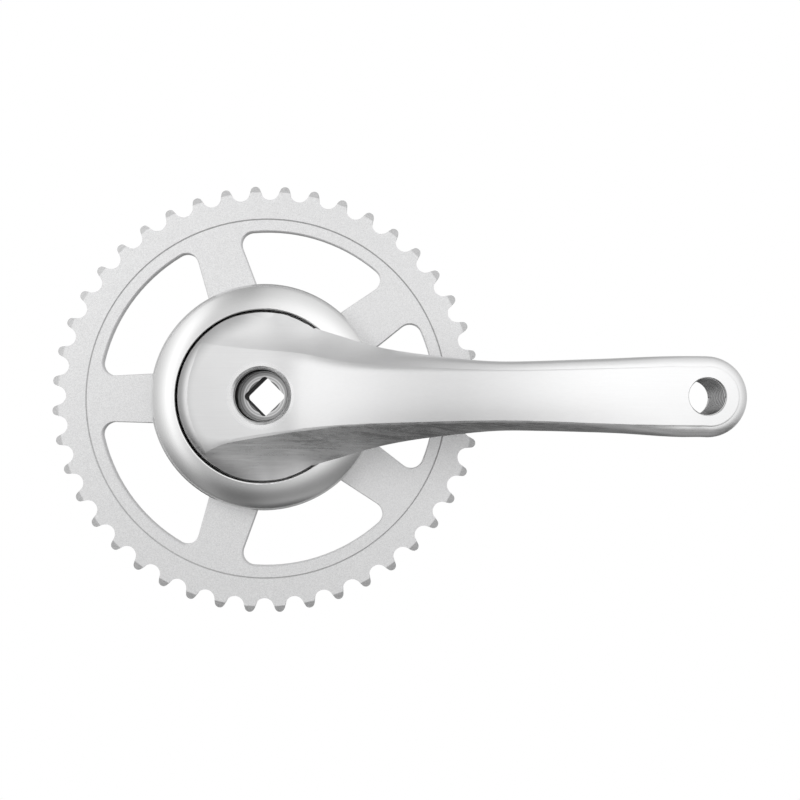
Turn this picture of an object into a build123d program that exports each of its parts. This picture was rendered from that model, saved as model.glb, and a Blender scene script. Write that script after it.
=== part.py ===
"""Right-hand crankset of a bicycle: forged crank arm, toothed chainring, trim ring and rivets.

Millimetres. The model is drawn with the spindle axis on Z (outboard is +Z) and the arm along +X,
and is turned at the end so that outboard is -Y, up is +Z and the arm lies along +X.
The origin is on the spindle axis, in the middle plane of the chainring.
"""
import os
from math import acos, atan, atan2, cos, degrees, pi, radians, sin, sqrt, tan

from build123d import *

# Chainring
teeth = 44
chain_pitch = 12.7
roller_seat_radius = 3.97
flank_angle = 69.0  # where the roller seat runs out into the straight flank, from the gap's centre
tooth_addendum = 2.2  # tooth tip above the pitch circle
flank_length = 2.45
plate_thickness = 2.8
tooth_bevel_height = 2.7  # radial height of the bevel on both sides of the teeth
tooth_tip_thickness = 1.1
rim_width = 13.5  # from the tooth roots to the windows
spoke_count = 5
spoke_angle = 37.0
spoke_width = 20.4
spoke_overrun = 3.5  # how far a spoke is drawn past both ends of the windows
spoke_flare = 2.4  # each side of a spoke leans by this angle, wider towards the middle
window_corner = 5.2
window_edge_break = 0.35
groove_inset = 8.6  # from the tooth roots to the inner edge of the turned line on the rim
groove_width = 0.7
groove_foot = 0.1  # share of the groove's width where it is deepest, from its inner edge
groove_depth = 0.3

# Crank arm
crank_length = 170.0
boss_radius = 34.7
boss_front = 18.6  # outboard face of the boss, above the chainring's middle plane
boss_rim = 12.7  # height of the boss's edge
boss_underside = 8.2
boss_roll = 6.4  # width of the rolled edge behind the hole
rim_land = 0.2  # straight edge between the boss's rim and the roll
roll_lift = 0.05  # the roll meets the face this far up, to leave no step
arm_offset = 26.2  # pedal face outboard of the boss face
bend_start = 12.0  # where the flat boss face starts to rise
bend_blend = 7.0  # softness of the bend's start
bend_share = 0.81  # length of the bend, in crank lengths
bend_power = 1.8
boss_fall = 0.45  # how far the boss face falls away behind the hole
eye_width = 30.4
eye_reach = 16.1  # end of the arm beyond the pedal axis
eye_thickness = 16.0
eye_round = 4.2  # width of the soft edge round the eye
eye_drop = 2.9  # height of that soft edge
back_round = 3.2

# Interfaces
puller_thread_radius = 11.0
puller_thread_length = 9.9
puller_countersink = 0.8
mouth_room = 3.0  # how far a bore's mouth is cut clear above its countersink
square_across = 12.55  # across the flats at the socket's outboard end
square_taper = 2.0  # each flat leans by this angle
square_corner = 1.6
pedal_thread_radius = 7.14
pedal_countersink = 0.2

# Hub behind the boss
hub_radius = boss_radius - 12.7
spigot_radius = boss_radius - 17.7
spigot_back = 5.5  # inboard end of the spigot, behind the middle plane
spigot_fit = 0.1

# Rivets
rivet_count = 5
rivet_circle = boss_radius - 6.7
rivet_radius = 3.0
rivet_depth = 7.0
rivet_head_radius = 5.2
rivet_head_height = 2.2
rivet_dome_height = 1.6
post_wall = 2.5

# Trim ring
ring_gap = 0.85  # open gap between the boss and the ring's lip
ring_width = 11.7
ring_wall = 1.2
ring_crown = 14.2  # height that the dome's ellipse would reach at its middle
ring_crown_shift = 3.0  # middle of the dome's ellipse, inside the lip's bore
ring_dome_height = 8.4
ring_dome_overrun = 0.75  # how far the dome's ellipse would run past the skirt
lip_drop = 3.0
lip_round = 0.6
ring_clearance = 0.5  # between the ring and the arm that passes over it
hook_count = 5
hook_width = 8.0
hook_grip = 2.5  # how far a hook reaches under the chainring
hook_step = 1.0  # from the skirt's inner wall to a hook's leg
hook_clearance = 0.15

# How far shapes run past or into each other while they are joined or cut
overrun = 1.0
overlap = 2.0
skim = 0.1

plate_front = plate_thickness / 2
pitch_radius = chain_pitch / (2 * sin(pi / teeth))
root_radius = pitch_radius - roller_seat_radius
tip_radius = pitch_radius + tooth_addendum
ring_inner = boss_radius + ring_gap
ring_outer = ring_inner + ring_width
window_outer = root_radius - rim_width
window_inner = ring_outer - 2 * ring_wall - hook_step - hook_clearance  # under the ring, at its hooks
pedal_face = boss_front + arm_offset
eye_centre = crank_length + eye_reach - eye_width / 2


def polar(radius, angle, height=0.0):
    """A point at a radius and an angle in degrees about the spindle axis."""
    return Vector(radius * cos(radians(angle)), radius * sin(radians(angle)), height)


def gap_point(along, across, angle):
    """A point given along and across the centre line of one tooth gap."""
    return Vector(along, across).rotate(Axis.Z, angle)


def tooth_outline():
    step = 360 / teeth
    lean = radians(flank_angle)
    seat = (pitch_radius - roller_seat_radius * cos(lean), roller_seat_radius * sin(lean))
    flank = (seat[0] + flank_length * sin(lean), seat[1] + flank_length * cos(lean))
    edges = []
    for number in range(teeth):
        here = number * step
        after = here + step
        seat_start = gap_point(seat[0], -seat[1], here)
        seat_end = gap_point(seat[0], seat[1], here)
        flank_end = gap_point(flank[0], flank[1], here)
        next_flank = gap_point(flank[0], -flank[1], after)
        next_seat = gap_point(seat[0], -seat[1], after)
        edges.append(ThreePointArc(seat_start, polar(root_radius, here), seat_end))
        edges.append(Line(seat_end, flank_end))
        edges.append(ThreePointArc(flank_end, polar(tip_radius, here + step / 2), next_flank))
        edges.append(Line(next_flank, next_seat))
    return make_face(edges)


def spoke(angle):
    """One spoke of the chainring, drawn past both ends of the windows."""
    middle = (window_outer + window_inner) / 2
    inner = window_inner - spoke_overrun
    outer = window_outer + spoke_overrun
    lean = tan(radians(spoke_flare))
    half_inner = spoke_width / 2 + (middle - inner) * lean
    half_outer = spoke_width / 2 - (outer - middle) * lean
    corners = [(inner, -half_inner), (outer, -half_outer), (outer, half_outer), (inner, half_inner)]
    return Rot(0, 0, angle) * Polygon(*corners, align=None)


def window_sketch():
    band = Circle(window_outer) - Circle(window_inner)
    for number in range(spoke_count):
        band -= spoke(spoke_angle + number * 360 / spoke_count)
    return fillet(band.vertices(), window_corner)


def rivet_places():
    for number in range(rivet_count):
        yield spoke_angle + number * 360 / rivet_count


def make_chainring():
    plate = extrude(tooth_outline(), plate_thickness / 2, both=True)
    bevel_start = tip_radius - tooth_bevel_height
    beyond = tip_radius + overrun
    slope = (plate_front - tooth_tip_thickness / 2) / tooth_bevel_height
    edge = plate_front - (beyond - bevel_start) * slope
    lens = [(0, -plate_front), (bevel_start, -plate_front), (beyond, -edge), (beyond, edge),
            (bevel_start, plate_front), (0, plate_front)]
    plate &= revolve(Plane.XZ * Polygon(*lens, align=None), Axis.Z)
    plate -= extrude(window_sketch(), plate_thickness, both=True)
    plate -= Cylinder(spigot_radius + spigot_fit, 3 * plate_thickness)
    for angle in rivet_places():
        plate -= Pos(polar(rivet_circle, angle)) * Cylinder(rivet_radius, 3 * plate_thickness)
    front_edges = plate.faces().sort_by(Axis.Z)[-1].inner_wires()
    window_edges = [e for w in front_edges for e in w.edges() if w.length > 2 * pi * hub_radius]
    plate = chamfer(window_edges, window_edge_break)
    groove_start = root_radius - groove_inset
    groove = [(groove_start, plate_front + skim),
              (groove_start + groove_foot * groove_width, plate_front - groove_depth),
              (groove_start + groove_width, plate_front + skim)]
    plate -= revolve(Plane.XZ * Polygon(*groove, align=None), Axis.Z)
    return plate


def make_rivet(angle):
    """A domed head behind the chainring and a shank that is set in the boss."""
    dome_radius = (rivet_head_radius**2 + rivet_dome_height**2) / (2 * rivet_dome_height)
    head_back = -plate_front - rivet_head_height
    head = Pos(0, 0, head_back + rivet_head_height / 2) * Cylinder(rivet_head_radius, rivet_head_height)
    head &= Pos(0, 0, head_back + dome_radius) * Sphere(dome_radius)
    length = rivet_depth + plate_thickness
    shank = Pos(0, 0, length / 2 - plate_front) * Cylinder(rivet_radius, length)
    return Pos(polar(rivet_circle, angle)) * (head + shank)


def dome_profile(inset):
    """Part of an ellipse from the skirt up to the lip, moved in by a wall."""
    middle = ring_inner - ring_crown_shift
    reach = ring_outer + ring_dome_overrun - middle - inset
    start = degrees(acos((ring_outer - inset - middle) / reach))
    end = degrees(acos((ring_inner + max(lip_round, inset) - middle) / reach))
    centre = (middle, ring_crown - ring_dome_height)
    return EllipticalCenterArc(centre, reach, ring_dome_height - inset,
                               start_angle=start, arc_size=end - start)


def make_trim_ring():
    """A domed ring with a rolled inner lip, a straight skirt and bent tabs at its foot."""
    outer = dome_profile(0)
    inner = dome_profile(ring_wall)
    lip_top = (outer @ 1).Y
    lip_foot = lip_top - lip_drop
    lip_side = Vector(ring_inner, lip_top - lip_round)
    lip_back = lip_round * (1 - sqrt(0.5))
    lip_mid = Vector(ring_inner + lip_back, lip_top - lip_back)
    inside_foot = Vector(ring_inner + ring_wall, lip_foot)
    profile = make_face([
        ThreePointArc(lip_side, lip_mid, outer @ 1),
        outer,
        Line(outer @ 0, (ring_outer, plate_front)),
        Line((ring_outer, plate_front), (ring_outer - ring_wall, plate_front)),
        Line((ring_outer - ring_wall, plate_front), inner @ 0),
        inner,
        Line(inner @ 1, inside_foot),
        Line(inside_foot, (ring_inner, lip_foot)),
        Line((ring_inner, lip_foot), lip_side),
    ])
    ring = revolve(Plane.XZ * profile, Axis.Z)
    for number in range(hook_count):
        ring += make_hook(spoke_angle + (number + 0.5) * 360 / hook_count)
    return ring


def make_hook(angle):
    """A tab bent in from the skirt's foot, down through a window and under the chainring."""
    leg_inner = window_inner + hook_clearance
    leg_outer = leg_inner + ring_wall
    skirt_middle = ring_outer - ring_wall / 2
    foot_top = -plate_front - hook_clearance
    foot_bottom = foot_top - ring_wall
    foot_end = leg_inner - hook_grip
    outline = [(leg_inner, plate_front + ring_wall), (skirt_middle, plate_front + ring_wall),
               (skirt_middle, plate_front), (leg_outer, plate_front), (leg_outer, foot_bottom),
               (foot_end, foot_bottom), (foot_end, foot_top), (leg_inner, foot_top)]
    leg = extrude(Plane.XZ * Polygon(*outline, align=None), hook_width / 2, both=True)
    return Rot(0, 0, angle) * leg


# The arm's shape is ruled by a few curves along it. Their first number counts one boss radius
# from the spindle to the boss's rim and one more from there to the pedal axis.
root_place = 0.571  # where the arm's edges leave the boss
eye_place = 1.95  # where the eye's own section begins
eye_half = eye_width / 2 / boss_radius
eye_ridge = eye_half - eye_round / boss_radius
root_proud = 0.007  # the edges start just outside the boss's rim
root_height = sqrt(1 - root_place**2) + root_proud
upper_edge = [(-1.1, 1.5), (-0.3, 1.2), (0.3, 0.951), (0.45, 0.886), (root_place, root_height),
              (0.865, 0.727), (1.1, 0.566), (1.25, 0.462), (1.46, 0.379), (1.7, 0.404),
              (eye_place, eye_half)]
lower_edge = [(-1.1, 1.5), (-0.3, 1.2), (0.3, 0.951), (0.45, 0.886), (root_place, root_height),
              (0.865, 0.735), (1.1, 0.577), (1.25, 0.467), (1.48, 0.381), (1.75, 0.399),
              (eye_place, eye_half)]
upper_ridge = [(-1.1, 0.505), (-0.2, 0.465), (0.4, 0.435), (0.72, 0.385), (1.0, 0.335),
               (1.16, 0.297), (1.46, 0.268), (1.75, 0.292), (eye_place, eye_ridge)]
lower_ridge = [(-1.1, 0.66), (-0.2, 0.5), (0.4, 0.405), (0.72, 0.368), (1.0, 0.345),
               (1.16, 0.317), (1.46, 0.285), (1.75, 0.31), (eye_place, eye_ridge)]
edge_drop = [(-1.1, 4.6), (-0.6, 6.1), (0.0, 6.6), (0.35, 5.9), (root_place, 7.2), (0.865, 8.4),
             (1.1, 9.3), (1.3, 7.0), (1.46, 5.2), (1.7, 4.4), (eye_place, eye_drop)]
arm_depth = [(-1.1, 9.6), (0.3, 10.6), (root_place, 11.6), (0.865, 12.4), (1.16, 12.6),
             (1.5, 13.4), (1.85, eye_thickness - 0.4), (eye_place, eye_thickness)]
upper_crown = [(-1.1, 0.35), (eye_place, 0.35)]  # how far the face falls from its middle to a ridge
lower_crown = [(-0.2, 0.35), (0.9, 0.8), (1.3, 1.1), (1.65, 0.9), (eye_place, 0.35)]
upper_hollow = [(-1.1, 1.0), (0.3, 1.4), (0.865, 0.8), (1.2, 0.0)]
lower_hollow = [(-1.1, 0.6), (0.3, 0.7), (0.865, 0.4), (1.2, 0.0)]
upper_round = [(1.05, 0.0), (1.5, 0.9), (eye_place, 1.0)]  # 1 where the edge runs smoothly into the face
lower_round = [(1.2, 0.0), (1.55, 0.2), (1.75, 0.35), (eye_place, 1.0)]
upper_softness = [(-1.1, 7.0), (-0.6, 4.0), (0.0, 2.8), (0.6, 2.4), (1.2, 1.4), (1.5, 0.4),
                  (eye_place, 0.3)]
lower_softness = [(-1.1, 9.0), (-0.78, 5.5), (-0.5, 1.5), (-0.2, 0.6), (1.5, 0.5),
                  (eye_place, 0.3)]
station_count = 24
first_station = -1.27 * boss_radius


def place(share):
    if share <= 1:
        return share * boss_radius
    return boss_radius + (share - 1) * (crank_length - boss_radius)


def follow(curve, x, unit=1.0):
    """Height of a smooth curve through the given points, at a distance along the arm."""
    xs = [place(share) for share, _ in curve]
    ys = [value * unit for _, value in curve]
    if x <= xs[0]:
        return ys[0]
    if x >= xs[-1]:
        return ys[-1]
    last = len(xs) - 1
    index = max(i for i in range(last) if xs[i] <= x)
    steps = [(ys[i + 1] - ys[i]) / (xs[i + 1] - xs[i]) for i in range(last)]
    slopes = [0.0] * (last + 1)
    for i in range(1, last):
        if steps[i - 1] * steps[i] > 0:
            slopes[i] = 2 * steps[i - 1] * steps[i] / (steps[i - 1] + steps[i])
    slopes[0] = steps[0]
    span = xs[index + 1] - xs[index]
    t = (x - xs[index]) / span
    start = ys[index] * (1 + 2 * t) * (1 - t) ** 2 + slopes[index] * span * t * (1 - t) ** 2
    end = ys[index + 1] * t * t * (3 - 2 * t) + slopes[index + 1] * span * t * t * (t - 1)
    return start + end


def face_height(x):
    """Height of the arm's face: flat on the boss, then a soft bend that levels out at the pedal."""
    past_bend = x - bend_start
    travel = (past_bend + sqrt(past_bend**2 + bend_blend**2)) / 2
    share = min(1.0, travel / (bend_share * crank_length))
    fall = boss_fall * (max(0.0, -x) / boss_radius) ** 2
    return boss_front - fall + arm_offset * (1 - (1 - share) ** bend_power)


def side_of_section(x, side):
    """Ridge, flank, wall and back corner on one side; side is 1 for the upper, -1 for the lower."""
    upper = side > 0
    ridge = follow(upper_ridge if upper else lower_ridge, x, boss_radius)
    edge = follow(upper_edge if upper else lower_edge, x, boss_radius)
    hollow = follow(upper_hollow if upper else lower_hollow, x)
    soft = follow(upper_softness if upper else lower_softness, x)
    roundness = follow(upper_round if upper else lower_round, x)
    face = face_height(x)
    edge_height = face - follow(edge_drop, x)
    back = face - follow(arm_depth, x)
    crown = follow(upper_crown if upper else lower_crown, x)
    ridge_height = face - crown
    slope = Vector(0, edge - ridge, edge_height - ridge_height)
    normal = Vector(0, slope.Z, -slope.Y).normalized()
    start_share = soft / slope.length
    flank_start = Vector(0, ridge, ridge_height) + slope * start_share
    flank_end = Vector(0, edge, edge_height)
    turn = atan2(ridge_height - edge_height, edge - ridge) - atan(2 * crown / ridge)
    bulge = roundness * (flank_end - flank_start).length / 2 * tan(turn / 2)
    flank_middle = (flank_start + flank_end) * 0.5 + normal * (hollow - bulge)
    face_end = Vector(0, ridge - soft, ridge_height + 2 * crown * soft / ridge)
    points = {
        "face_end": face_end,
        "ridge": Vector(0, ridge, ridge_height),
        "flank_start": flank_start,
        "flank_middle": flank_middle,
        "flank_end": flank_end,
        "wall_end": Vector(0, edge, back + back_round),
        "corner": Vector(0, edge, back),
        "back_end": Vector(0, edge - back_round, back),
    }
    return {name: Vector(x, side * p.Y, p.Z) for name, p in points.items()}


def half_section(points):
    """Edges from the face to the back on one side."""
    return [
        Bezier(points["face_end"], points["ridge"], points["flank_start"]),
        ThreePointArc(points["flank_start"], points["flank_middle"], points["flank_end"]),
        Line(points["flank_end"], points["wall_end"]),
        Bezier(points["wall_end"], points["corner"], points["back_end"]),
    ]


def arm_section(x):
    upper = side_of_section(x, 1)
    lower = side_of_section(x, -1)
    crown = Vector(x, 0, face_height(x))
    edges = [ThreePointArc(lower["face_end"], crown, upper["face_end"])]
    edges += half_section(upper)
    edges.append(Line(upper["back_end"], lower["back_end"]))
    edges += half_section(lower)
    return make_face(edges)


def eye_end():
    """The round end of the arm: its last section turned about the middle of the eye."""
    upper = side_of_section(eye_centre, 1)
    top = Vector(eye_centre, 0, pedal_face)
    bottom = Vector(eye_centre, 0, upper["back_end"].Z)
    face_edge = ThreePointArc(Vector(eye_centre, -upper["face_end"].Y, upper["face_end"].Z), top,
                              upper["face_end"]).trim(0.5, 1)
    edges = [face_edge] + half_section(upper)
    edges.append(Line(upper["back_end"], bottom))
    edges.append(Line(bottom, top))
    return revolve(make_face(edges), Axis((eye_centre, 0, 0), (0, 0, -1)), 180)


def boss_trim():
    """What is cut away outside the boss's rim, up to where the arm leaves it."""
    reach = 3 * boss_radius
    block = Pos(place(root_place) - reach / 2, 0, 0) * Box(reach, 2 * reach, 4 * boss_front)
    return block - Cylinder(boss_radius, 8 * boss_front)


def rim_roll():
    """What is cut away to roll the boss's edge over, on the side away from the arm."""
    start = boss_radius - boss_roll
    foot = boss_rim + rim_land
    top = face_height(-start) + roll_lift
    roll = EllipticalCenterArc((start, foot), boss_roll, top - foot, start_angle=0, arc_size=90)
    above = boss_front + overlap
    shape = make_face([
        roll,
        Line(roll @ 1, (start, above)),
        Line((start, above), (boss_radius + overrun, above)),
        Line((boss_radius + overrun, above), (boss_radius + overrun, foot)),
        Line((boss_radius + overrun, foot), roll @ 0),
    ])
    return revolve(Plane.YZ * shape, Axis.Z, 180)


def ring_room():
    """Space under the arm for the trim ring."""
    top = ring_crown + ring_clearance
    reach = 2 * ring_outer
    shape = [(boss_radius, -overrun), (reach, -overrun), (reach, top), (boss_radius, top)]
    return revolve(Plane.XZ * Polygon(*shape, align=None), Axis.Z)


def square_socket():
    """The tapered square, corners on X and Y, widest at its inboard end."""
    depth = boss_front - puller_thread_length + spigot_back
    wide = square_across + 2 * depth * tan(radians(square_taper))
    outer = Rot(0, 0, 45) * RectangleRounded(square_across, square_across, square_corner)
    inner = Rot(0, 0, 45) * RectangleRounded(wide, wide, square_corner)
    floor = boss_front - puller_thread_length
    return loft([Pos(0, 0, -spigot_back) * inner, Pos(0, 0, floor + skim) * outer])


def threaded_bore(radius, top, bottom, countersink):
    """A bore at the thread's full diameter, with a countersunk mouth cut clear of the face."""
    mouth = radius + 2 * countersink
    above = top + countersink
    shape = [(0, bottom), (radius, bottom), (radius, top - countersink), (mouth, above),
             (mouth, above + mouth_room), (0, above + mouth_room)]
    return revolve(Plane.XZ * Polygon(*shape, align=None), Axis.Z)


def make_crank_arm():
    spacing = (eye_centre - first_station) / (station_count - 1)
    arm = loft([arm_section(first_station + spacing * number) for number in range(station_count)])
    arm += eye_end()
    disc_height = boss_rim - boss_underside
    arm += Pos(0, 0, boss_underside + disc_height / 2) * Cylinder(boss_radius + overrun, disc_height)
    arm -= boss_trim()
    arm -= rim_roll()
    arm -= ring_room()
    post_height = boss_underside + overlap - plate_front
    post_middle = plate_front + post_height / 2
    arm += Pos(0, 0, post_middle) * Cylinder(hub_radius, post_height)
    for angle in rivet_places():
        post = Cylinder(rivet_radius + post_wall, post_height)
        arm += Pos(polar(rivet_circle, angle, post_middle)) * post
    spigot_height = spigot_back + plate_front + overrun
    arm += Pos(0, 0, spigot_height / 2 - spigot_back) * Cylinder(spigot_radius, spigot_height)
    for angle in rivet_places():
        hole = Cylinder(rivet_radius, rivet_depth)
        arm -= Pos(polar(rivet_circle, angle, plate_front + rivet_depth / 2)) * hole
    floor = boss_front - puller_thread_length
    arm -= threaded_bore(puller_thread_radius, boss_front, floor, puller_countersink)
    arm -= square_socket()
    arm -= pedal_bore()
    return arm


def pedal_bore():
    bore = threaded_bore(pedal_thread_radius, pedal_face, pedal_face - 2 * eye_thickness,
                         pedal_countersink)
    back = pedal_face - eye_thickness
    mouth = Cone(pedal_thread_radius + pedal_countersink, pedal_thread_radius, pedal_countersink,
                 align=(Align.CENTER, Align.CENTER, Align.MIN))
    return Pos(crank_length, 0, 0) * (bore + Pos(0, 0, back) * mouth)


def save(shape, name):
    """Turn a piece into the part's frame and write it."""
    turned = Rot(90, 0, 0) * shape
    export_step(turned, f"parts/{name}.step")


os.makedirs("parts", exist_ok=True)
save(make_crank_arm(), "crank_arm")
save(make_chainring(), "chainring")
save(make_trim_ring(), "trim_ring")
for number, angle in enumerate(rivet_places(), 1):
    save(make_rivet(angle), f"chainring_rivet_{number}")
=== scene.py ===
import bpy
from mathutils import Matrix, Vector


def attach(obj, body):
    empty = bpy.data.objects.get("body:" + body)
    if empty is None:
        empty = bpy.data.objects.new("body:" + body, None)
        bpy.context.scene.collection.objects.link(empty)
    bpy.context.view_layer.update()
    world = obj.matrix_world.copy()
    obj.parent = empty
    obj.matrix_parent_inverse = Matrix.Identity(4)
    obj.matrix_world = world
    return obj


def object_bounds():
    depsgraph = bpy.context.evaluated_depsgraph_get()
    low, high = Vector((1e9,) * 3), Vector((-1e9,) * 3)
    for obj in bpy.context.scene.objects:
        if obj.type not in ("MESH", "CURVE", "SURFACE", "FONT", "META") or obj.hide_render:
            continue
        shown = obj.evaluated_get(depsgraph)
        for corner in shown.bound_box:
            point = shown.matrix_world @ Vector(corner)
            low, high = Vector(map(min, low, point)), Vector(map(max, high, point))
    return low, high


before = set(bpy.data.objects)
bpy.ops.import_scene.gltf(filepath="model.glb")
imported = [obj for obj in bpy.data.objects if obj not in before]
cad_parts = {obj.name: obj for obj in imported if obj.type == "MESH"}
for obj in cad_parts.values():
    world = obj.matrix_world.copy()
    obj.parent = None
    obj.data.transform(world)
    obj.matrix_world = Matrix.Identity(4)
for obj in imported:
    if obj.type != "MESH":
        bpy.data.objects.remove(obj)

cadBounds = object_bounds()
scene = bpy.context.scene
print("frame loaded:", sorted(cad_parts))


def grey(level):
    return (level, level, level, 1)


def plug(tree, target, value):  # a wire is linked, a plain value is set
    if isinstance(value, Wire):
        tree.links.new(value.socket, target)
    else:
        target.default_value = value


class Wire:  # a socket that takes part in Python expressions
    def __init__(self, tree, socket):
        self.tree = tree
        self.socket = socket

    def maths(self, operation, other=None):
        node = self.tree.nodes.new("ShaderNodeMath")
        node.operation = operation
        plug(self.tree, node.inputs[0], self)
        if other is not None:
            plug(self.tree, node.inputs[1], other)
        return Wire(self.tree, node.outputs[0])

    def __add__(self, other):
        return self.maths("ADD", other)

    def __sub__(self, other):
        return self.maths("SUBTRACT", other)

    def __rsub__(self, other):
        return self * -1 + other

    def __mul__(self, other):
        return self.maths("MULTIPLY", other)

    __radd__ = __add__
    __rmul__ = __mul__


class Sheet:  # a node tree and the patterns that are drawn on it
    def __init__(self, tree):
        self.tree = tree

    def node(self, kind, settings=None, inputs=None, output=0):
        made = self.tree.nodes.new(kind)
        for name, value in (settings or {}).items():
            if name == "stops":
                ramp = made.color_ramp
                while len(ramp.elements) < len(value):
                    ramp.elements.new(0.5)
                for element, (position, level) in zip(ramp.elements, value):
                    element.position = position
                    element.color = grey(level)
            else:
                setattr(made, name, value)
        for name, value in (inputs or {}).items():
            plug(self.tree, made.inputs[name], value)
        return Wire(self.tree, made.outputs[output])

    def split(self, vector):
        made = self.tree.nodes.new("ShaderNodeSeparateXYZ")
        plug(self.tree, made.inputs[0], vector)
        return [Wire(self.tree, out) for out in made.outputs]

    def spot(self):  # where the surface is on the object, in metres
        return self.node("ShaderNodeTexCoord", output="Object")

    def facing(self):
        return self.split(self.node("ShaderNodeNewGeometry", output="Normal"))

    def stretched(self, scale):
        return self.node("ShaderNodeMapping", inputs={"Vector": self.spot(), "Scale": scale})

    def noise(self, vector, scale, detail=2.0, roughness=0.5):  # centred on zero
        return self.node("ShaderNodeTexNoise", inputs={
            "Vector": vector, "Scale": scale, "Detail": detail, "Roughness": roughness}) - 0.5

    def rings(self, distance, scale):  # noise along one line, centred on zero
        return self.node("ShaderNodeTexNoise", {"noise_dimensions": "1D"},
                         {"W": distance, "Scale": scale, "Detail": 2.0}) - 0.5

    def flecks(self, scale):  # a random level for each tiny cell, centred on zero
        cells = self.node("ShaderNodeTexVoronoi", inputs={"Vector": self.spot(), "Scale": scale},
                          output="Color")
        return self.node("ShaderNodeSeparateColor", inputs={"Color": cells}) - 0.5

    def greyRamp(self, place, stops):  # place runs from -1 to 1
        ramp = self.node("ShaderNodeValToRGB", {"stops": stops}, {"Fac": place * 0.5 + 0.5})
        return self.node("ShaderNodeRGBToBW", inputs={"Color": ramp})

    def past(self, value, edge):  # 0 before the edge, 1 after it, smooth between
        return self.node("ShaderNodeMapRange", {"interpolation_type": "SMOOTHSTEP"},
                         {"Value": value, "From Min": edge[0], "From Max": edge[1]})

    def before(self, value, edge):
        return 1 - self.past(value, edge)

    def fromAxis(self, x, z, axisX=0.0):  # distance from a line along Y
        offset = x - axisX
        return (offset * offset + z * z).maths("SQRT")


def startMaterial(name):
    material = bpy.data.materials.new(name)
    material.use_nodes = True
    tree = material.node_tree
    return material, Sheet(tree), tree.nodes["Principled BSDF"]


def finishMetal(sheet, shader, look, level, rough, height):
    shader.inputs["Metallic"].default_value = look["metallic"]
    colour = sheet.node("ShaderNodeCombineColor", inputs={
        "Red": level, "Green": level, "Blue": level * look["blue"]})
    plug(sheet.tree, shader.inputs["Base Color"], colour)
    plug(sheet.tree, shader.inputs["Roughness"], rough)
    bumped = sheet.node("ShaderNodeBump", inputs={
        "Height": height, "Strength": look["bumpStrength"], "Distance": look["bumpDistance"]})
    plug(sheet.tree, shader.inputs["Normal"], bumped)


def dress(node, material):
    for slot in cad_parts[node].material_slots:
        slot.material = material


# camera, level with the crank's axis and close to it
cameraSpot = {
    "place": (0.04986, -0.3046, -0.01099),
    "right": (0.99972, -0.02264, 0.00710),
    "up": (-0.00785, -0.03353, 0.99941),
    "lens": 31.86,
    "sensor": 36,
    "nearest": 0.01,
}


def addCamera():
    data = bpy.data.cameras.new("camera")
    data.lens = cameraSpot["lens"]
    data.sensor_width = cameraSpot["sensor"]
    data.clip_start = cameraSpot["nearest"]
    camera = bpy.data.objects.new("camera", data)
    scene.collection.objects.link(camera)
    right = Vector(cameraSpot["right"]).normalized()
    back = right.cross(Vector(cameraSpot["up"])).normalized()
    turn = Matrix((right, back.cross(right), back)).transposed().to_4x4()
    camera.matrix_world = Matrix.Translation(cameraSpot["place"]) @ turn
    scene.camera = camera


# studio: soft walls that the metal mirrors, and one panel for the paint
studio = {
    "behind": 1.0,  # the level that the camera sees past the object
    "strength": 0.88,
    "heightStops": [(0.0, 0.10), (0.04, 0.30), (0.12, 0.23), (0.2, 0.26), (0.289, 0.46),
                    (0.37, 0.79), (0.46, 0.96), (0.63, 1.0), (0.75, 0.95), (0.883, 0.74),
                    (0.97, 0.64), (1.0, 0.58)],  # dark below, light at eye level
    "sideStops": [(0.0, 0.75), (0.09, 1.15), (0.16, 1.55), (0.21, 1.4), (0.27, 0.82),
                  (0.37, 0.74), (0.43, 1.15), (0.53, 1.4), (0.67, 1.42), (0.85, 1.15),
                  (1.0, 0.8)],  # a lamp on the left, a broad one on the right
    "frontEdge": (-0.15, 0.3),  # the side lamps end here, towards the back
    "rear": 0.7,  # level of the back wall
    "panelPlace": (-0.36, -0.46, 0.26),
    "panelAim": (0.03, 0.0, 0.0),
    "panelSize": 0.50,
    "panelPower": 2.2,
    "floorSize": 12,
    "floorDrop": 0.19,  # from the object's lowest point
}


def lightWalls():
    world = bpy.data.worlds.new("studio")
    scene.world = world
    world.use_nodes = True
    sheet = Sheet(world.node_tree)
    across, depth, height = sheet.split(sheet.node("ShaderNodeTexCoord", output="Generated"))
    front = sheet.before(depth, studio["frontEdge"])
    sides = sheet.greyRamp(across, studio["sideStops"]) * front + (1 - front) * studio["rear"]
    level = sheet.greyRamp(height, studio["heightStops"]) * sides
    seen = sheet.node("ShaderNodeLightPath", output="Is Camera Ray")
    shown = level * studio["strength"] * (1 - seen) + seen * studio["behind"]
    background = world.node_tree.nodes["Background"]
    background.inputs["Color"].default_value = grey(1)
    plug(world.node_tree, background.inputs["Strength"], shown)


def hangPanel():
    data = bpy.data.lights.new("keyPanel", "AREA")
    data.shape = "DISK"
    data.size = studio["panelSize"]
    data.energy = studio["panelPower"]
    lamp = bpy.data.objects.new("keyPanel", data)
    scene.collection.objects.link(lamp)
    lamp.location = studio["panelPlace"]
    lamp.visible_glossy = False
    away = Vector(studio["panelPlace"]) - Vector(studio["panelAim"])
    lamp.rotation_euler = away.to_track_quat("Z", "Y").to_euler()


def addFloor():
    level = cadBounds[0][2] - studio["floorDrop"]
    bpy.ops.mesh.primitive_plane_add(size=studio["floorSize"], location=(0, 0, level))
    floor = bpy.context.object
    floor.name = "floor"
    material, sheet, shader = startMaterial("paleFloor")
    shader.inputs["Base Color"].default_value = grey(0)
    shader.inputs["Specular IOR Level"].default_value = 0
    shader.inputs["Emission Color"].default_value = grey(1)
    shader.inputs["Emission Strength"].default_value = 1
    floor.data.materials.append(material)
    floor.visible_glossy = False
    floor.visible_diffuse = False


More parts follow.
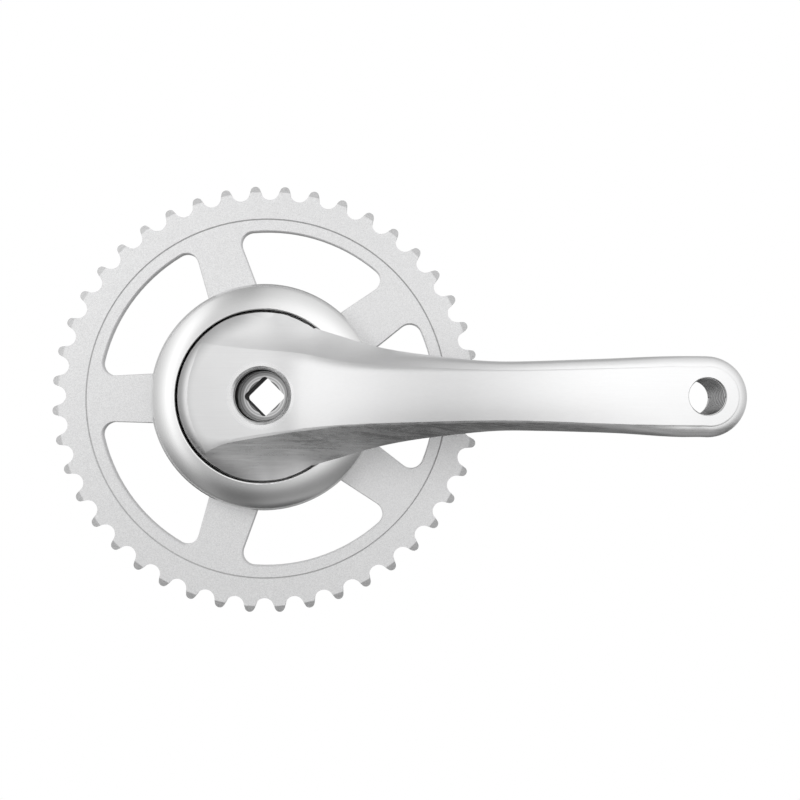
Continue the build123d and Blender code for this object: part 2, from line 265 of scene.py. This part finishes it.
# crank arm: forged, buffed on its face, streaked where it faces down
armLook = {
    "level": 0.90,
    "rough": 0.33,
    "metallic": 1.0,
    "blue": 1.003,
    "bumpStrength": 0.16,
    "bumpDistance": 0.00005,
    "darkest": 0.02,
    "underTurn": (0.12, 0.5),  # how far down a surface faces
    "beltScale": (24, 480, 480),  # long marks of the grinding belt
    "beltUnder": 2.2,
    "beltFace": 0.15,
    "hairScale": (50, 2300, 2300),  # finer marks between them
    "hairUnder": 1.6,
    "hairFace": 0.25,
    "streakUnder": 0.10,
    "streakFace": 0.20,
    "streakRough": 0.16,
    "cloudScale": 42.0,
    "cloudLevel": 0.05,
    "cloudRough": 0.08,
    "tumbleScale": 900.0,
    "tumbleRough": 0.06,
    "tumbleBump": 0.3,
    "underRough": 0.05,
    "hairBump": 0.35,
    "recessWall": (0.01106, 0.0112),  # radius of the puller's recess, darkened there as painted shade
    "recessMouth": (-0.0181, -0.0176),
    "recessPaintedShade": 0.42,
    "turnedScale": 1150.0,  # rings left by the tool in the recess
    "turnedSlope": 0.8,
    "turnedLevel": 1.9,
    "haloStart": (0.0112, 0.0116),  # painted highlight: a brighter ring around the recess, also made smoother as a faced ring
    "haloEnd": (0.0128, 0.0142),
    "paintedHighlightLevel": 0.09,
    "haloRough": 0.1,
    "socketWall": (0.0098, 0.0099),  # |x| + |z| on the walls of the square, darkened there as painted shade
    "socketMouth": (-0.0086, -0.0085),
    "socketPaintedShade": 0.8,
    "socketRough": 0.5,
    "pedalX": 0.170,
    # radius of the pedal bore, darkened there as painted shade
    "pedalWall": (0.00716, 0.0073),
    "pedalPaintedShade": 0.22,
    "gapWall": (0.03455, 0.03465),  # side of the boss, in the trim ring's gap, darkened there as painted shade
    "gapMouth": (-0.0132, -0.0128),
    "gapPaintedShade": 0.84,
    "rimRoll": (0.0265, 0.0345),  # the boss's edge rolls over on the left; painted shade darkens it there
    "rimEnd": (-0.012, 0.004),
    "rimPaintedShade": 0.42,
}


def forgedAluminium(look):
    material, sheet, shader = startMaterial("forgedAluminium")
    x, y, z = sheet.split(sheet.spot())
    under = sheet.past(sheet.facing()[2] * -1, look["underTurn"])
    belt = sheet.noise(sheet.stretched(look["beltScale"]), 1.0, detail=4.0, roughness=0.65)
    hair = sheet.noise(sheet.stretched(look["hairScale"]), 1.0, roughness=0.6)
    cloud = sheet.noise(sheet.spot(), look["cloudScale"], detail=3.0)
    tumble = sheet.noise(sheet.spot(), look["tumbleScale"])
    streak = (belt * (under * look["beltUnder"] + look["beltFace"])
              + hair * (under * look["hairUnder"] + look["hairFace"]))

    fromSpindle = sheet.fromAxis(x, z)
    fromPedal = sheet.fromAxis(x, z, look["pedalX"])
    fromFlats = x.maths("ABSOLUTE") + z.maths("ABSOLUTE")
    inRecess = sheet.before(fromSpindle, look["recessWall"]) * sheet.past(y, look["recessMouth"])
    inSocket = sheet.before(fromFlats, look["socketWall"]) * sheet.past(y, look["socketMouth"])
    inPedal = sheet.before(fromPedal, look["pedalWall"])
    inGap = sheet.past(fromSpindle, look["gapWall"]) * sheet.past(y, look["gapMouth"])
    halo = sheet.past(fromSpindle, look["haloStart"]) * sheet.before(fromSpindle, look["haloEnd"])
    rim = sheet.past(fromSpindle, look["rimRoll"]) * sheet.before(x, look["rimEnd"])
    turned = sheet.rings(fromSpindle + y * look["turnedSlope"], look["turnedScale"])

    # painted shade: the recess, the square socket, the left rim, the pedal bore and the gap are
    # darkened in colour
    dark = (inRecess * look["recessPaintedShade"] + inSocket * look["socketPaintedShade"] + rim * look["rimPaintedShade"]
            + inPedal * look["pedalPaintedShade"] + inGap * look["gapPaintedShade"])
    # the halo adds a painted highlight round the recess
    level = (streak * (under * look["streakUnder"] + look["streakFace"])
             + cloud * look["cloudLevel"] + halo * look["paintedHighlightLevel"] + look["level"] - dark
             + turned * inRecess * (1 - inSocket) * look["turnedLevel"])
    rough = (streak * look["streakRough"] + cloud * look["cloudRough"]
             + tumble * look["tumbleRough"] + look["rough"] - under * look["underRough"]
             - halo * look["haloRough"] + inSocket * look["socketRough"])
    height = belt * under + hair * (under + look["hairBump"]) + tumble * look["tumbleBump"]
    finishMetal(sheet, shader, look, level.maths("MAXIMUM", look["darkest"]), rough, height)
    plug(sheet.tree, shader.inputs["Metallic"], 1 - inSocket)  # the square, darkened as painted shade, is also made dull so it mirrors little
    return material


# chainring: silver paint with a metallic sparkle
chainringLook = {
    "level": 0.745,
    "rough": 0.46,
    "metallic": 0.55,
    "blue": 1.004,
    "bumpStrength": 0.2,
    "bumpDistance": 0.00004,
    "fineScale": 5200,
    "fineLevel": 0.17,
    "fineRough": 0.22,
    "coarseScale": 2700,
    "coarseLevel": 0.08,
    "cloudScale": 24.0,
    "cloudLevel": 0.03,
    "cloudRough": 0.08,
    "peelScale": 700.0,  # the paint's slight orange peel
    "peelBump": 0.8,
    "grooveStart": (0.0762, 0.0764),  # radius of the groove line inside the teeth, darkened as painted shade
    "grooveEnd": (0.0768, 0.0771),
    "grooveFront": (-0.0012, -0.0008),
    "groovePaintedShade": 0.24,
    # the tooth tips past this radius are darkened as painted shade
    "tipEdge": (0.0881, 0.0888),
    "tipPaintedShade": 0.2,
}


def silverPaint(look):
    material, sheet, shader = startMaterial("silverPaint")
    x, y, z = sheet.split(sheet.spot())
    fromSpindle = sheet.fromAxis(x, z)
    fine = sheet.flecks(look["fineScale"])
    coarse = sheet.flecks(look["coarseScale"])
    cloud = sheet.noise(sheet.spot(), look["cloudScale"], detail=3.0)
    peel = sheet.noise(sheet.spot(), look["peelScale"])
    # painted shade: a dark band along the groove line
    groove = (sheet.past(fromSpindle, look["grooveStart"])
              * sheet.before(fromSpindle, look["grooveEnd"]) * sheet.before(y, look["grooveFront"]))
    # painted shade on the tooth tips
    tips = sheet.past(fromSpindle, look["tipEdge"])
    level = (fine * look["fineLevel"] + coarse * look["coarseLevel"] + cloud * look["cloudLevel"]
             + look["level"] - groove * look["groovePaintedShade"] - tips * look["tipPaintedShade"])
    rough = fine * look["fineRough"] + cloud * look["cloudRough"] + look["rough"]
    finishMetal(sheet, shader, look, level, rough, fine + coarse + peel * look["peelBump"])
    return material


# trim ring: satin plate, with painted shade inside the gap around the boss
trimLook = {
    "level": 0.88,
    "rough": 0.22,
    "metallic": 1.0,
    "blue": 1.0,
    "bumpStrength": 0.12,
    "bumpDistance": 0.00003,
    "darkest": 0.02,
    "grainScale": 2400.0,
    "grainLevel": 0.06,
    "grainRough": 0.12,
    "cloudScale": 45.0,
    "cloudLevel": 0.05,
    "cloudRough": 0.07,
    # the ring's lip inside the gap, darkened there as painted shade
    "gapWall": (0.03562, 0.0358),
    "gapMouth": (-0.0124, -0.0121),
    "gapPaintedShade": 0.86,
}


def satinPlate(look):
    material, sheet, shader = startMaterial("satinPlate")
    x, y, z = sheet.split(sheet.spot())
    grain = sheet.noise(sheet.spot(), look["grainScale"], detail=3.0, roughness=0.6)
    cloud = sheet.noise(sheet.spot(), look["cloudScale"], detail=3.0)
    # painted shade inside the gap
    inGap = sheet.before(sheet.fromAxis(x, z), look["gapWall"]) * sheet.past(y, look["gapMouth"])
    level = (grain * look["grainLevel"] + cloud * look["cloudLevel"] + look["level"]
             - inGap * look["gapPaintedShade"])
    rough = grain * look["grainRough"] + cloud * look["cloudRough"] + look["rough"]
    finishMetal(sheet, shader, look, level.maths("MAXIMUM", look["darkest"]), rough, grain)
    return material


# rivets: zinc plate with a faint spangle
rivetLook = {
    "count": 5,
    "level": 0.64,
    "rough": 0.36,
    "metallic": 1.0,
    "blue": 1.02,
    "bumpStrength": 0.15,
    "bumpDistance": 0.00004,
    "grainScale": 900.0,
    "grainLevel": 0.14,
    "grainRough": 0.2,
    "spangleScale": 1400,
    "spangleLevel": 0.08,
    "spangleRough": 0.08,
}


def zincPlate(look):
    material, sheet, shader = startMaterial("zincPlate")
    grain = sheet.noise(sheet.spot(), look["grainScale"], detail=3.0, roughness=0.6)
    spangle = sheet.flecks(look["spangleScale"])
    level = grain * look["grainLevel"] + spangle * look["spangleLevel"] + look["level"]
    rough = grain * look["grainRough"] + spangle * look["spangleRough"] + look["rough"]
    finishMetal(sheet, shader, look, level, rough, grain)
    return material


# threads: one ridge profile wound into each bore
pullerThread = {
    "name": "pullerThread",
    "x": 0.0,
    "start": -0.0168,
    "radius": 0.01102,
    "depth": 0.00052,
    "pitch": 0.001,
    "turns": 7,
    "steps": 96,
}
pedalThread = {
    "name": "pedalThread",
    "x": 0.170,
    "start": -0.0440,
    "radius": 0.00716,
    "depth": 0.0005,
    "pitch": 0.00127,
    "turns": 11,
    "steps": 72,
}
ridgeShare = 0.48  # half the ridge's foot as a share of the pitch


def windThread(thread, material):
    foot = thread["radius"]
    crest = thread["radius"] - thread["depth"]
    half = thread["pitch"] * ridgeShare
    bpy.ops.object.select_all(action="DESELECT")
    bpy.ops.mesh.primitive_circle_add(vertices=3, radius=half, fill_type="NOTHING")
    ridge = bpy.context.object
    ridge.name = thread["name"]
    corners = [(foot, -half, 0), (foot, half, 0), (crest, 0, 0)]
    for vertex, corner in zip(ridge.data.vertices, corners):
        vertex.co = corner
    screw = ridge.modifiers.new("screw", "SCREW")
    screw.axis = "Y"
    screw.steps = thread["steps"]
    screw.render_steps = thread["steps"]
    screw.iterations = thread["turns"]
    screw.screw_offset = thread["pitch"]
    screw.use_merge_vertices = False
    bpy.ops.object.modifier_apply(modifier="screw")
    bpy.ops.object.mode_set(mode="EDIT")
    bpy.ops.mesh.select_all(action="SELECT")
    bpy.ops.mesh.fill_holes(sides=4)  # the two ends of the ridge
    bpy.ops.mesh.select_all(action="SELECT")
    bpy.ops.mesh.normals_make_consistent(inside=False)
    bpy.ops.object.mode_set(mode="OBJECT")
    bpy.ops.transform.translate(value=(thread["x"], thread["start"], 0))
    bpy.ops.object.transform_apply(location=True, rotation=True, scale=True)
    ridge.data.materials.append(material)
    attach(ridge, "root")


addCamera()
scene.view_settings.view_transform = "Standard"
print("camera placed")

lightWalls()
hangPanel()
addFloor()
print("studio lit")

forged = forgedAluminium(armLook)
dress("crank_arm", forged)
dress("chainring", silverPaint(chainringLook))
dress("trim_ring", satinPlate(trimLook))
zinc = zincPlate(rivetLook)
for number in range(1, rivetLook["count"] + 1):
    dress(f"chainring_rivet_{number}", zinc)
print("metals finished")

windThread(pullerThread, forged)
windThread(pedalThread, forged)
print("threads wound")
